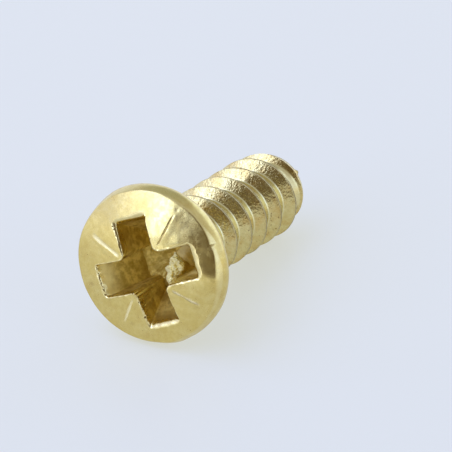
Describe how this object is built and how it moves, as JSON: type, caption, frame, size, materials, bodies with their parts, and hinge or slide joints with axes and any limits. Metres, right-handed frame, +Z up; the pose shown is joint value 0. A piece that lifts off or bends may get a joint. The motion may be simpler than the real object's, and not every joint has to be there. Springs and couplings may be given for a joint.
{
  "type": "sheet metal screw",
  "caption": "Brass sheet metal screw with a raised countersunk head, a type Z cross recess, and a spaced thread to a blunt end, lying on its side.",
  "frame": {"origin": "middle of the footprint, at the level of the surface that the screw lies on", "axes": "+X from the head to the blunt end, +Z up; the screw's own axis lies in the XZ plane and slopes down towards the end"},
  "size_m": [0.0097, 0.0054, 0.0054],
  "materials": {
    "brass": "bright, slightly dulled yellow brass"
  },
  "bodies": {
    "root": {"screw": "brass"}
  },
  "joints": []
}
